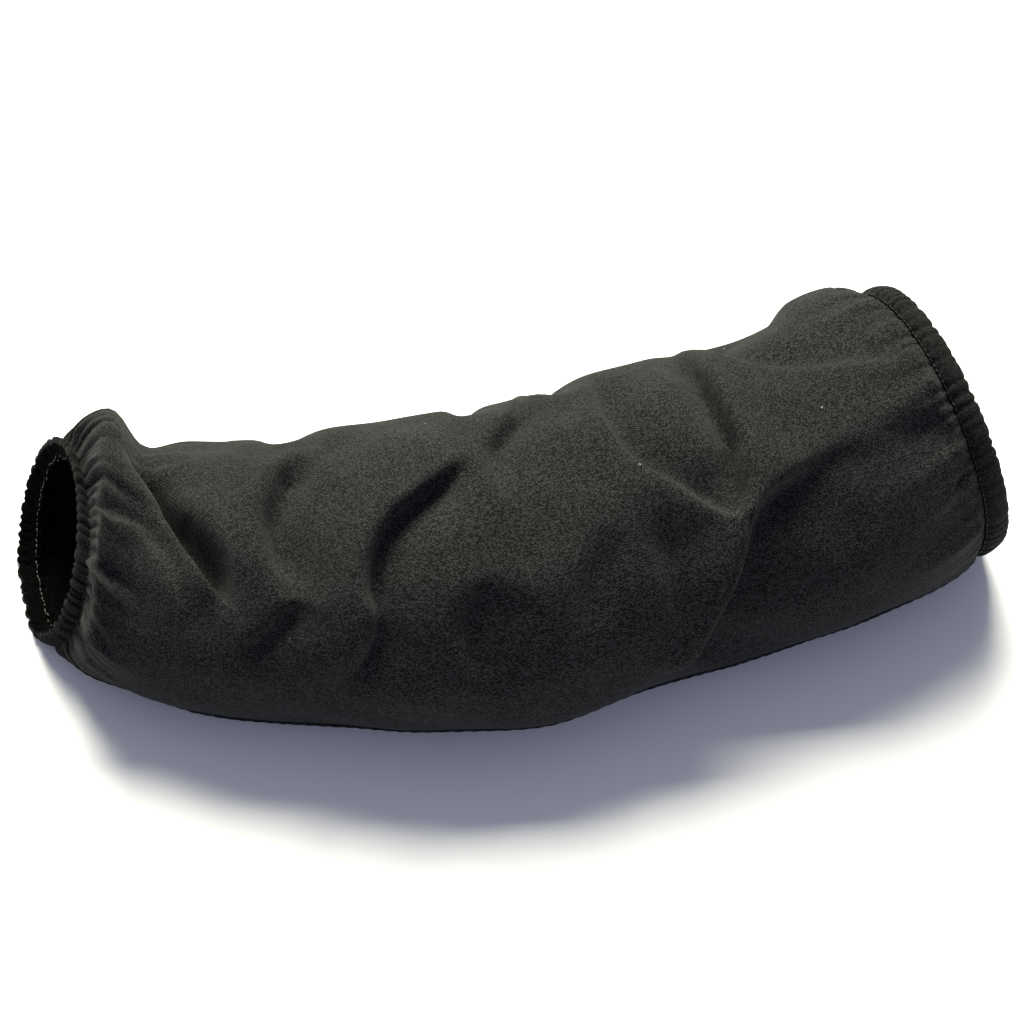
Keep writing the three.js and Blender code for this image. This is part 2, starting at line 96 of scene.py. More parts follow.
# One row for each fold of the cloth.
#   run            places (along, around) on the line where the cloth drops from its ridge into its dip
#   edge           half the breadth of the drop, at the run's start and end
#   back, reach    how far the ridge falls away behind the line, and the dip rises ahead of it
#   crest, trough  height of the ridge, on the right of the run, and depth of the dip, on its left
#   fade           shares of the run over which the fold rises at its start and dies at its end
#   tip            how far the ridge leans over its dip, as a share of its height, at the run's start and end
FOLDS = (
    dict(name="wrist_pouf",
         run=((40, 185), (41, 160), (42, 138), (43, 122), (45, 111), (48, 105), (53, 101), (64, 88),
              (75, 76), (87, 64), (93, 57), (99, 52), (106, 45)),
         edge=(6.5, 0.5), back=20, reach=10, crest=6, trough=12, fade=(0.1, 0.2), tip=(-0.2, 0.7)),
    dict(name="wrist_bank",
         run=((110, 40), (105, 52), (101, 62), (94, 71), (84, 80), (71, 90), (60, 99), (53, 107),
              (49, 116)),
         edge=(4, 3), back=20, reach=9, crest=3.5, trough=14, fade=(0.3, 0.15), tip=(0.1, 0.1)),
    dict(name="wrist_arch",
         run=((21, 65), (39, 69), (53, 74), (64, 68), (72, 62), (82, 48), (87, 39), (94, 30)),
         edge=(2, 3), back=11, reach=8, crest=2, trough=5.5, fade=(0.1, 0.3), tip=(0, 0)),
    dict(name="wrist_pucker",
         run=((22, 36), (36, 40), (50, 46), (64, 45)),
         edge=(1.5, 2.5), back=8, reach=6, crest=1.5, trough=3.5, fade=(0.1, 0.4), tip=(0, 0)),
    dict(name="wrist_low_pucker",
         run=((18, 9), (30, 12), (42, 12), (52, 8)),
         edge=(1.5, 2.5), back=7, reach=6, crest=1.5, trough=3.5, fade=(0.1, 0.4), tip=(0, 0)),
    dict(name="far_forearm_dip",
         run=((100, 190), (104, 152), (111, 122)),
         edge=(6, 6), back=14, reach=15, crest=0, trough=7, fade=(0.3, 0.3), tip=(0, 0)),
    dict(name="forearm_dip",
         run=((129, 118), (121, 104), (118, 92), (117, 80), (122, 66), (131, 53), (142, 40)),
         edge=(4, 4.5), back=18, reach=15, crest=4.5, trough=14, fade=(0.2, 0.35), tip=(0.2, 0.2)),
    dict(name="forearm_low",
         run=((136, 50), (128, 42), (119, 33), (108, 22)),
         edge=(4, 5), back=15, reach=13, crest=3, trough=7, fade=(0.3, 0.35), tip=(0.3, 0.3)),
    dict(name="forearm_line",
         run=((133, 124), (139, 112), (145, 101), (154, 88)),
         edge=(3, 3), back=10, reach=9, crest=2, trough=4, fade=(0.3, 0.4), tip=(0.3, 0.3)),
    dict(name="elbow_crease",
         run=((210, 103), (199, 95), (184, 84), (172, 75), (166, 63), (165, 52), (168, 42), (166, 30),
              (159, 19), (150, 8)),
         edge=(3.5, 4.5), back=22, reach=16, crest=5.5, trough=12, fade=(0.2, 0.25), tip=(0.4, 0.4)),
    dict(name="elbow_line",
         run=((246, 150), (238, 121), (227, 112), (218, 105), (216, 97), (218, 89), (221, 79), (225, 66)),
         edge=(3, 2.5), back=14, reach=10, crest=3, trough=6, fade=(0.2, 0.4), tip=(0.3, 0.3)),
    dict(name="elbow_low",
         run=((211, 57), (204, 48), (200, 38), (201, 26), (205, 14), (211, 3)),
         edge=(4, 6), back=18, reach=18, crest=4, trough=8, fade=(0.25, 0.35), tip=(0.3, 0.3)),
    dict(name="elbow_soft",
         run=((254, 64), (249, 54), (243, 43), (241, 30), (243, 14)),
         edge=(5, 6), back=15, reach=11, crest=3, trough=5.5, fade=(0.35, 0.4), tip=(0.2, 0.2)),
    dict(name="elbow_soft_second",
         run=((279, 62), (275, 50), (275, 36), (274, 20), (270, 6)),
         edge=(5, 6), back=14, reach=12, crest=2.5, trough=5, fade=(0.35, 0.4), tip=(0.2, 0.2)),
    dict(name="dent_edge",
         run=((286, 132), (281, 119), (277, 105), (277, 91), (281, 80), (288, 72), (297, 63), (309, 52)),
         edge=(3.5, 3), back=15, reach=13, crest=3.5, trough=9, fade=(0.25, 0.12), tip=(0.1, 0.1)),
    dict(name="dent_crease",
         run=((311, 50), (318, 60), (321, 68), (325, 77), (326, 88), (327, 100), (330, 120), (336, 160)),
         edge=(2.2, 2.6), back=15, reach=10, crest=4, trough=12, fade=(0.06, 0.2), tip=(0.15, 0.15)),
    dict(name="upper_plane",
         run=((398, 56), (371, 63), (343, 58), (328, 53), (319, 46), (313, 38), (307, 29), (299, 20),
              (290, 8), (282, -3), (274, -12)),
         edge=(5, 3), back=17, reach=32, crest=7, trough=12, fade=(0.25, 0.12), tip=(0.3, 0.3)),
    dict(name="top_crease",
         run=((340, 150), (351, 121), (368, 108), (388, 97), (408, 87), (422, 80)),
         edge=(6, 5), back=12, reach=16, crest=1, trough=7, fade=(0.08, 0.4), tip=(0.4, 0.4)),
    dict(name="arm_dimple",
         run=((436, 55), (424, 57), (406, 61), (388, 65)),
         edge=(4, 5), back=9, reach=14, crest=1, trough=7, fade=(0.1, 0.5), tip=(0, 0)),
    dict(name="arm_pucker",
         run=((436, 35), (426, 33), (418, 29), (409, 20)),
         edge=(2, 3), back=8, reach=7, crest=2, trough=4.5, fade=(0.1, 0.5), tip=(0.2, 0.2)),
    dict(name="far_elbow_dip",
         run=((196, 192), (201, 152), (206, 122)),
         edge=(5, 5), back=12, reach=12, crest=1, trough=9, fade=(0.3, 0.4), tip=(0.3, 0.3)),
    dict(name="far_elbow_notch",
         run=((252, 195), (257, 152), (262, 120)),
         edge=(5, 5), back=12, reach=14, crest=1, trough=10.5, fade=(0.3, 0.4), tip=(0.3, 0.3)),
    dict(name="upper_hump",
         run=((384, 150), (408, 150), (440, 146)),
         edge=(40, 40), back=32, reach=32, crest=6, trough=-6, fade=(0.35, 0.12), tip=(0, 0)),
)

# Short legs that stand for one leg of a run
STEPS_PER_LEG = 4

# Distances from the stitches over which the folds gain their full height, and over which the gathers change
# from the section's outward direction to the cloth's own
LOOSE_REACH = 12.0
FREE_REACH = 6.0

# Distance from the body's ends over which its inner face gains its extra depth
INNER_RISE = 3.0

# Step to the places close by that give the cloth's outward direction, and breadth of its bend at the floor
NEARBY = 0.5
FLOOR_SOFTNESS = 1.2

# Waves that make the cloth uneven: how many, the most turns round the tube and in 1 mm along it, and heights
UNEVEN = dict(seed=21, waves=26, turns=13, per_mm=0.022, height=(0.05, 0.32))

# Gathers at each casing.
#   pinches   narrow valleys through the stitch line: how many round the rim, their depth, half breadth in
#             degrees and reach into the body, each from least to most
#   ridges    broad swells that run on into the body, in the same columns
#   groove    depth and reach of the dip that the stitch line pulls in
GATHERS = dict(
    wrist=dict(seed=3, pinches=68, depth=(0.9, 3.4), breadth=(0.9, 1.7), reach=(8, 34),
               ridges=24, swell=(0.8, 2.8), spread=(2.6, 5.5), run=(12, 34), groove=1.4, groove_reach=2.6),
    arm=dict(seed=8, pinches=72, depth=(0.1, 1.4), breadth=(0.8, 1.6), reach=(6, 26),
             ridges=28, swell=(0.8, 2.8), spread=(2.2, 5.0), run=(12, 38), groove=1.2, groove_reach=2.6),
)

# Pinches: shares of their depth at the rim and at the stitches, distance over which their breadth doubles,
# and the distance past which none is left
RIM_PINCH = 0.9
STITCH_PINCH = 1.3
PINCH_WIDENING = 22.0
PINCH_LIMIT = 70.0

# Swells: distance from the stitches over which they rise
SWELL_RISE = 5.0

# Cloth in a gathered rim, as a multiple of the rim's girth
GATHER_FULLNESS = 1.5

# Casing wall: corners (distance from the rim, offset from the tube's surface), round the wall and closed.
# The last corners are the turned edge, which lies inside the body's end.
CASING_PROFILE = np.array([
    (12.95, -1.2), (12.2, 0.3), (10.0, 1.9), (6.5, 2.5), (3.0, 2.1), (0.8, 1.0),
    (0.0, -0.9), (0.7, -2.5), (3.5, -3.6), (8.0, -4.2), (12.0, -4.4), (14.6, -4.5),
    (15.2, -4.0), (14.4, -3.4), (13.2, -3.2), (12.8, -2.4),
])

# Casing faces: offset midway between them, and the least distance from it at which a face is pressed in fully
CASING_MIDDLE = -1.1
CASING_HALF = 1.2

# Casing: distance from the rim at which its faces start to close up, and the length over which they do
SEWN_START = 7.5
SEWN_REACH = 4.5

# Rim notches: depth as a share of a pinch's depth, and how far from the rim they reach
NOTCH_SHARE = 0.8
NOTCH_REACH = 1.5

# Floor under a casing's inner face: a level less the face's offset, times a slope
LINING_LEVEL = 1.8
LINING_SLOPE = 0.55

# Rows of stitches round a casing: distance from the rim, and offset from the tube's surface
STITCH_ROWS = dict(inner=(11.6, -4.5), outer=(12.5, -0.3))

# One stitch: share of its step that the thread spans, offset that gives its outward direction, points round it,
# and its rings with their place along it, and their radius and height as multiples of the thread.
# The map is the length along a stitch and the step round it.
STITCH_SHARE = 0.72
STITCH_PROBE = 0.5
STITCH_SIDES = 6
STITCH_RINGS = dict(
    share=np.array([0.0, 0.12, 0.35, 0.65, 0.88, 1.0]),
    radius=0.5 * np.array([0.25, 0.8, 1.0, 1.0, 0.8, 0.25]),
    rise=np.array([-0.5, 0.05, 0.35, 0.35, 0.05, -0.5]),
)
STITCH_MAP = (2.2 * MM, 0.25 * MM)

# Side seam: its place round the sleeve, its distance from the casings, its outline as shares of the half width
# and height above the cloth, and the small waves along it, which show above a height
SEAM_AROUND = -34.0
SEAM_CLEARANCE = 1.2
SEAM_ACROSS = np.array([-1, -1, -0.94, -0.8, -0.4, 0, 0.4, 0.8, 0.94, 1, 1, 0.5, 0, -0.5])
SEAM_LIFT = np.array([0.05, 0.5, 0.95, 1.1, 0.95, 1.0, 0.95, 1.1, 0.95, 0.5, 0.05, 0.05, 0.05, 0.05])
SEAM_PUCKER = dict(height=0.12, length=5.6, above=0.5)

# Cloths: a multiplier of the yarn colours, which also scales gloss and sheen, and strength of the weave's bump.
# The body's inner face and the casings' inner faces are darkened to 0.12 as painted shade for the dim inside
# of the sleeve; the casings come out darker than the body, and the seam a little darker
CLOTHS = dict(dark_twill=(1.0, 0.5), twill_back_painted_shade=(0.12, 0.5), casing_twill=(0.62, 0.6),
              casing_lining_painted_shade=(0.12, 0.6), seam_twill=(0.85, 0.5))

# Weave.
#   wander, drift     waves per metre of the yarns' wander and of the slow change of shade
#   shade             range of that change
#   on_warp, on_weft  gain and level that turn a float's random number into its share of grey
#   crown             gain and level of that share from a float's edges to its middle, painted shade at the edges
WEAVE = dict(wander=110.0, drift=22.0, shade=(0.84, 1.16), on_warp=(1.3, -0.55), on_weft=(2.6, -0.7),
             crown=(0.8, 0.3))

# Lint: cells per metre, speck's radius in a cell, share of cells without one, strength and colour
LINT = dict(cells=75.0, radius=0.035, without=0.82, strength=0.5, colour=(0.35, 0.35, 0.33, 1))

# Turn of the thread's plies, in radians per metre
PLY_TURN = 9000.0

# Lights: size of the square, place and colour, in metres
KEY_LIGHT = dict(size=1.9, place=(-0.2, 2.0, 2.6), colour=(1.0, 1.0, 0.8))
FILL_LIGHT = dict(size=2.0, place=(0.6, -2.4, 1.6), colour=(0.5, 0.57, 1.0))
SKY_COLOUR = (0.9, 0.92, 1.0, 1)

# Height that the lights and the camera aim at, the floor's half width and level, and the sensor's width in mm
AIM_HEIGHT = 0.05
FLOOR_HALF = 2.5
FLOOR_LEVEL = -0.0002
SENSOR_WIDTH = 36.0


class SleeveSizes(bpy.types.PropertyGroup):
    """Sizes of the cloth and its sewing."""

    wall: FloatProperty(name="Wall", description="Thickness of the twill", default=1.3 * MM, unit="LENGTH")
    body_rows: IntProperty(name="Body rows", description="Grid rows along the body", default=170)
    body_columns: IntProperty(name="Body columns", description="Even number round the body", default=384)
    casing_points: IntProperty(name="Casing points", description="Points round a casing's wall", default=40)
    pinch_points: IntProperty(name="Pinch points", description="Points round a casing for one pinch", default=8)
    stitch: FloatProperty(name="Stitch", description="Stitch to stitch", default=2.8 * MM, unit="LENGTH")
    thread: FloatProperty(name="Thread", description="Thread diameter", default=0.5 * MM, unit="LENGTH")
    seam_width: FloatProperty(name="Seam width", description="Felled seam", default=9 * MM, unit="LENGTH")
    seam_rows: IntProperty(name="Seam rows", description="Grid rows along the seam", default=420)


class SleeveFinish(bpy.types.PropertyGroup):
    """Colours and scale of the finishes."""

    warp: FloatVectorProperty(
        name="Warp", description="Dark yarn", subtype="COLOR", default=(0.0008, 0.0008, 0.001))
    weft: FloatVectorProperty(
        name="Weft", description="Grey yarn", subtype="COLOR", default=(0.0276, 0.0276, 0.0296))
    line: FloatProperty(name="Twill line", description="Spacing of lines", default=0.95 * MM, unit="LENGTH")
    bobbin: FloatVectorProperty(
        name="Bobbin", description="Inner thread", subtype="COLOR", default=(0.11, 0.11, 0.1))
    needle: FloatVectorProperty(
        name="Needle", description="Outer thread", subtype="COLOR", default=(0.006, 0.006, 0.0063))


class SleeveStage(bpy.types.PropertyGroup):
    """Floor, light and camera."""

    floor: FloatVectorProperty(
        name="Floor", description="Floor colour", subtype="COLOR", default=(0.60, 0.60, 0.63))
    key: FloatProperty(name="Key", description="Power of the key light in watts", default=435.0)
    fill: FloatProperty(name="Fill", description="Power of the fill light in watts", default=21.0)
    sky: FloatProperty(name="Sky", description="Strength of the surrounding light", default=0.45)
    elevation: FloatProperty(
        name="Elevation", description="Camera height angle", default=np.radians(50), subtype="ANGLE")
    distance: FloatProperty(name="Distance", description="Camera to sleeve", default=1.144, unit="LENGTH")
    lens: FloatProperty(name="Lens", description="Focal length in mm", default=85.0)


def smooth_step(share):
    """0 below 0, 1 above 1, and 3t^2 - 2t^3 between."""
    t = np.clip(share, 0, 1)
    return t * t * (3 - 2 * t)


def soft_floor(height, floor, softness):
    """Height kept above a floor: the mean of the clearance and its rounded absolute value, which bends without
    a corner."""
    clear = height - floor
    return floor + 0.5 * (clear + np.sqrt(clear * clear + softness * softness))


def section_at(along):
    """Section columns at places along the sleeve: cubic pieces through the table's rows, with each slope the
    mean of its two steps weighted by the other one's length. Returns a dict of arrays."""
    knots, rows = SECTION_ALONG.astype(float), SECTIONS
    steps = np.diff(knots)[:, None]
    rises = np.diff(rows, axis=0) / steps
    slopes = np.empty_like(rows)
    slopes[0], slopes[-1] = rises[0], rises[-1]
    slopes[1:-1] = (rises[1:] * steps[:-1] + rises[:-1] * steps[1:]) / (steps[1:] + steps[:-1])
    i = np.clip(np.searchsorted(knots, along, side="right") - 1, 0, len(knots) - 2)
    step = steps[i]
    t = ((along - knots[i]) / (knots[i + 1] - knots[i]))[..., None]
    values = (
        (2 * t**3 - 3 * t**2 + 1) * rows[i]
        + (t**3 - 2 * t**2 + t) * step * slopes[i]
        + (3 * t**2 - 2 * t**3) * rows[i + 1]
        + (t**3 - t**2) * step * slopes[i + 1]
    )
    return dict(zip(SECTION_COLUMNS, np.moveaxis(values, -1, 0)))


def mm_per_degree(along):
    """Length of one degree round a section, on the tube's mean circle."""
    section = section_at(along)
    return np.pi * (section["width"] + section["height"] + section["sag"]) / 2 / 360


def girth_at(along):
    """Girth of the tube in metres at one place along it: 360 times the length of one degree."""
    return float(mm_per_degree(np.array([along]))[0]) * 360 * MM


def cloth_points(along, around, relief, floor):
    """Points of the cloth in metres. A section is an ellipse with its lower part pressed flat on the floor,
    raised by the relief along its own outward direction, then sheared by the lean, turned and placed."""
    s = section_at(along)
    angle = np.radians(around)
    half_width, half_height = s["width"] / 2, (s["height"] + s["sag"]) / 2
    out_y, out_z = -np.cos(angle) / half_width, np.sin(angle) / half_height
    out = np.hypot(out_y, out_z)
    aside = -half_width * np.cos(angle) + relief * out_y / out
    round_height = half_height * (1 + np.sin(angle)) - s["sag"] + relief * out_z / out
    height = soft_floor(round_height, floor, FLOOR_SOFTNESS)
    shift = s["lean"] * (height - s["height"] / 2)
    heading = np.radians(s["turn"])
    x = s["x"] + np.cos(heading) * shift - np.sin(heading) * aside - BOX_MIDDLE[0]
    y = s["y"] + np.sin(heading) * shift + np.cos(heading) * aside - BOX_MIDDLE[1]
    return np.stack([x, y, height], -1) * MM


def catmull_rom(a, b, c, d, t):
    """Smooth curve from b to c at shares t, with a before and d after them: a cubic whose slope is half of
    c - a at b, and half of d - b at c."""
    return 0.5 * (2 * b + (c - a) * t + (2 * a - 5 * b + 4 * c - d) * t**2 + (3 * b - a - 3 * c + d) * t**3)


def turn_from(angle, around):
    """Turn from an angle to places round a section, within half a turn either way."""
    return (around - angle + 180) % 360 - 180


def smooth_run(run):
    """Short legs through a run's places, by Catmull-Rom pieces."""
    p = np.array(run, float)
    q = np.vstack([2 * p[0] - p[1], p, 2 * p[-1] - p[-2]])
    t = np.linspace(0, 1, STEPS_PER_LEG, endpoint=False)[None, :, None]
    legs = catmull_rom(*(q[k:k + len(p) - 1, None, :] for k in range(4)), t)
    return np.vstack([legs.reshape(-1, 2), p[-1:]])


def fold_relief(along, around):
    """Height of all folds, and how far they carry the cloth along and around with them. A fold's height is a
    ridge on the right of its run less a dip on its left: each is a bell curve of the distance from the run, and
    a hyperbolic tangent of that distance over the edge's breadth passes from one to the other."""
    scale = mm_per_degree(along)
    relief, drift_along, drift_around = (np.zeros(along.shape) for _ in range(3))
    for fold in FOLDS:
        legs = smooth_run(fold["run"])
        middle = 0.5 * (legs[:, 1].min() + legs[:, 1].max())
        px, py = along, turn_from(middle, around) * scale
        nearest = np.full(along.shape, np.inf)
        signed, share, left_x, left_y = (np.zeros(along.shape) for _ in range(4))
        for k in range(len(legs) - 1):
            ax, ay = legs[k, 0], (legs[k, 1] - middle) * scale
            dx, dy = legs[k + 1, 0] - ax, (legs[k + 1, 1] - middle) * scale - ay
            leg = np.hypot(dx, dy)
            t = np.clip(((px - ax) * dx + (py - ay) * dy) / leg**2, 0, 1)
            ex, ey = px - ax - t * dx, py - ay - t * dy
            distance = np.hypot(ex, ey)
            closer = distance < nearest
            nearest = np.where(closer, distance, nearest)
            signed = np.where(closer, np.sign(dx * ey - dy * ex) * distance, signed)
            share = np.where(closer, (k + t) / (len(legs) - 1), share)
            left_x, left_y = np.where(closer, -dy / leg, left_x), np.where(closer, dx / leg, left_y)
        edge = fold["edge"][0] + (fold["edge"][1] - fold["edge"][0]) * share
        strength = smooth_step(share / fold["fade"][0]) * smooth_step((1 - share) / fold["fade"][1])
        ahead = 0.5 + 0.5 * np.tanh(signed / edge)
        ridge = fold["crest"] * (1 - ahead) * np.exp(-((signed / fold["back"]) ** 2))
        dip = fold["trough"] * ahead * np.exp(-((signed / fold["reach"]) ** 2))
        height = (ridge - dip) * strength
        relief += height
        tip = fold["tip"][0] + (fold["tip"][1] - fold["tip"][0]) * share
        drift_along += tip * height * left_x
        drift_around += tip * height * left_y / scale
    return relief, drift_along, drift_around


def pinch_rows(row):
    """Angles, depths, half breadths and reaches of a casing's pinches, drawn from the row's seed."""
    draw = np.random.default_rng(row["seed"])
    count = row["pinches"]
    angles = (np.arange(count) + draw.uniform(-0.4, 0.4, count)) * 360 / count
    return np.stack([angles, *(draw.uniform(*row[key], count) for key in ("depth", "breadth", "reach"))], -1)


def pinch_depth(row, around, away):
    """Depth of the pinches: bell curves of the angle, which widen and die away with the distance from the
    stitches."""
    depth = np.zeros(around.shape)
    for angle, deep, breadth, reach in pinch_rows(row):
        off = turn_from(angle, around)
        depth += deep * np.exp(-((off / (breadth * (1 + away / PINCH_WIDENING))) ** 2) - away / reach)
    return depth


def gather_relief(along, around):
    """Height of the gathers by each casing: broad ridges at uneven angles that die away over their own run,
    less the pinches and the groove that the stitches pull in."""
    relief = np.zeros(along.shape)
    for end, row in GATHERS.items():
        away = np.clip(along - CASING if end == "wrist" else LENGTH - CASING - along, 0, None)
        draw = np.random.default_rng(row["seed"] + 1)
        count = row["ridges"]
        angles = (np.arange(count) + draw.uniform(-0.4, 0.4, count)) * 360 / count
        swells, spreads, runs = (draw.uniform(*row[key], count) for key in ("swell", "spread", "run"))
        for angle, swell, spread, run in zip(angles, swells, spreads, runs):
            off = turn_from(angle, around)
            rise = smooth_step(away / SWELL_RISE) * np.exp(-((away / run) ** 2))
            relief += swell * rise * np.exp(-((off / (spread * (1 + 0.5 * away / run))) ** 2))
        near = away < PINCH_LIMIT
        relief[near] -= STITCH_PINCH * pinch_depth(row, around[near], away[near])
        relief -= row["groove"] * np.exp(-((away / row["groove_reach"]) ** 2))
    return relief


def uneven_relief(along, around):
    """Soft unevenness of the cloth: a sum of waves with whole numbers of turns round the tube."""
    draw = np.random.default_rng(UNEVEN["seed"])
    most, fastest = UNEVEN["turns"], UNEVEN["per_mm"]
    relief = np.zeros(along.shape)
    for _ in range(UNEVEN["waves"]):
        turns, per_mm = draw.integers(-most, most + 1), draw.uniform(-fastest, fastest)
        phase, height = draw.uniform(0, 2 * np.pi), draw.uniform(*UNEVEN["height"])
        relief += height * np.cos(np.radians(turns * around) + 2 * np.pi * per_mm * along + phase)
    return relief


def outward(grid):
    """Unit outward directions of a grid of points [row, column] that closes round its columns."""
    onwards = np.roll(grid, -1, 1) - np.roll(grid, 1, 1)
    forwards = np.gradient(grid, axis=0)
    normal = np.cross(forwards, onwards)
    return normal / np.linalg.norm(normal, axis=-1, keepdims=True)


def crowded(count, crowding):
    """Shares of one turn, closer together near its start: t less a share of sin(2 pi t) / (2 pi)."""
    t = np.linspace(0, 1, count, endpoint=False)
    return t - crowding * np.sin(2 * np.pi * t) / (2 * np.pi)


def row_shares(count):
    """Shares from 0 to 1 along the body: even steps of the running sum of a density, which is 1 plus a bell
    curve for each row of the table."""
    fine = np.linspace(CASING + GAP, LENGTH - CASING - GAP, DENSITY_SAMPLES)
    density = 1 + sum(more * np.exp(-(((fine - place) / reach) ** 2)) for place, reach, more in CLOSE_ROWS)
    walked = np.cumsum(density) - density[0]
    return np.interp(np.linspace(0, walked[-1], count), walked, np.linspace(0, 1, len(fine)))


def body_place(along, around):
    """Place on the map and relief of the body's outer face, with folds that carry the cloth over their dips."""
    relief, drift_along, drift_around = fold_relief(along, around)
    from_wrist, from_arm = along - CASING - GAP, LENGTH - CASING - GAP - along
    loose = smooth_step(from_wrist / LOOSE_REACH) * smooth_step(from_arm / LOOSE_REACH)
    height = loose * (relief + uneven_relief(along, around))
    return along + loose * drift_along, around + loose * drift_around, height


def body_points(along, around, lift=0.0):
    """Points of the body's outer face. The gathers go along the section's outward direction at the casings and
    change over to that of the folded cloth, found from two points close by. Any lift goes along the latter."""
    away = np.minimum(along - CASING, LENGTH - CASING - along)
    gathers, free = gather_relief(along, around), smooth_step(away / FREE_REACH)

    def folded(step_along, step_around):
        at_along, at_around, relief = body_place(along + step_along, around + step_around)
        return cloth_points(at_along, at_around, relief + (1 - free) * gathers, 0.0)

    here = folded(0.0, 0.0)
    out = np.cross(folded(NEARBY, 0.0) - here, folded(0.0, NEARBY) - here)
    out = out / np.linalg.norm(out, axis=-1, keepdims=True)
    points = here + out * (free * gathers + lift)[..., None] * MM
    points[..., 2] = soft_floor(points[..., 2], 0.0, FLOOR_SOFTNESS * MM)
    return points


def body_grids(rows, columns, wall):
    """Outer face of the body, its inner face on every other column, and the outer face's map coordinates.
    The inner face lies one wall further in, and deeper where the next column is lower, so that it stays under
    narrow gathers."""
    span = LENGTH - 2 * (CASING + GAP)
    along = CASING + GAP + span * row_shares(rows)
    around = DENSE_SIDE + 360 * crowded(columns, COLUMN_CROWDING)
    along, around = np.meshgrid(along, around, indexing="ij")
    outer = body_points(along, around)
    relief = gather_relief(along, around)
    lowest = np.minimum(relief, np.minimum(np.roll(relief, 1, 1), np.roll(relief, -1, 1)))
    from_end = np.minimum(along - along[0], along[-1] - along)
    depth = wall + (relief - lowest) * MM * smooth_step(from_end / INNER_RISE)
    inner = (outer - depth[..., None] * outward(outer))[:, ::2]
    return outer, inner, along, around


def grid_faces(rows, columns, close_rows):
    """Corner numbers of the quads of a grid that closes round its columns, and round its rows if asked."""
    i, j = np.meshgrid(np.arange(rows if close_rows else rows - 1), np.arange(columns), indexing="ij")
    below, beside = (i + 1) % rows, (j + 1) % columns
    return np.stack([i * columns + j, below * columns + j, below * columns + beside, i * columns + beside], -1)


def corner_numbers(mesh):
    """Point number of each face corner."""
    corner = np.empty(len(mesh.loops), np.int32)
    mesh.loops.foreach_get("vertex_index", corner)
    return corner


def lay_map(mesh, u, v):
    """Gives a mesh its weave map, by face corners, and smooth shading."""
    mesh.uv_layers.new(name="weave").data.foreach_set("uv", np.stack([u, v], -1).astype(np.float32).ravel())
    mesh.shade_smooth()


def mesh_object(name, points, faces, map_u, map_v, turn_v):
    """Mesh object with a weave map in metres. turn_v is the map's length round one loop: a corner that lies
    more than half a turn behind the rest of its face gets one turn more."""
    mesh = bpy.data.meshes.new(name)
    mesh.from_pydata(points.tolist(), [], faces)
    corner = corner_numbers(mesh)
    start = np.empty(len(mesh.polygons), np.int32)
    mesh.polygons.foreach_get("loop_start", start)
    u, v = map_u[corner], map_v[corner]
    furthest = np.repeat(np.maximum.reduceat(v, start), np.diff(np.append(start, len(corner))))
    v = v + turn_v * (furthest - v > 0.5 * turn_v)
    lay_map(mesh, u, v)
    return link_object(name, mesh)


def grid_object(name, points, map_u, map_v, turn_v, close_rows=True):
    """Mesh object of a grid of points that closes round its columns."""
    faces = grid_faces(*points.shape[:2], close_rows).reshape(-1, 4).tolist()
    return mesh_object(name, points.reshape(-1, 3), faces, map_u.ravel(), map_v.ravel(), turn_v)


def lip_faces(outer_row, inner_row):
    """Triangles between an edge row and one with half as many points: two on each outer pair, one on each inner
    step."""
    left, middle, right = outer_row[::2], outer_row[1::2], np.roll(outer_row[::2], -1)
    below, beyond = inner_row, np.roll(inner_row, -1)
    triangles = (left, middle, below), (middle, beyond, below), (middle, right, beyond)
    return np.concatenate([np.stack(corners, -1) for corners in triangles])


def link_object(name, mesh):
    """Checks a mesh and puts it in the scene as an object."""
    mesh.validate()
    piece = bpy.data.objects.new(name, mesh)
    bpy.context.scene.collection.objects.link(piece)
    return piece


def finish_piece(piece, material, slot, *nodes):
    """Gives a piece its material, and lets it ride in place of its CAD nodes. The slot argument is not used."""
    piece.data.materials.append(material)
    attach(piece, BODY)
    if nodes:
        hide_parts(*nodes)


def node(tree, kind, **inputs):
    """A shader node with the given sockets set, or linked where a socket is given. Words that start with set_
    set properties, and i0, i1 and so on are sockets by number."""
    made = tree.nodes.new(kind)
    for key, value in inputs.items():
        if key.startswith("set_"):
            setattr(made, key[4:], value)
            continue
        socket = made.inputs[int(key[1:])] if key[0] == "i" and key[1:].isdigit() else made.inputs[key]
        if isinstance(value, bpy.types.NodeSocket):
            tree.links.new(value, socket)
        else:
            socket.default_value = value
    return made


def math_node(tree, operation, *values):
    """Output of a Math node."""
    sockets = {f"i{k}": value for k, value in enumerate(values)}
    return node(tree, "ShaderNodeMath", set_operation=operation, **sockets).outputs[0]


def colour_mix(tree, factor, first, second):
    """Colour mixed from two by a factor."""
    return node(tree, "ShaderNodeMix", set_data_type="RGBA", i0=factor, i6=first, i7=second).outputs[2]


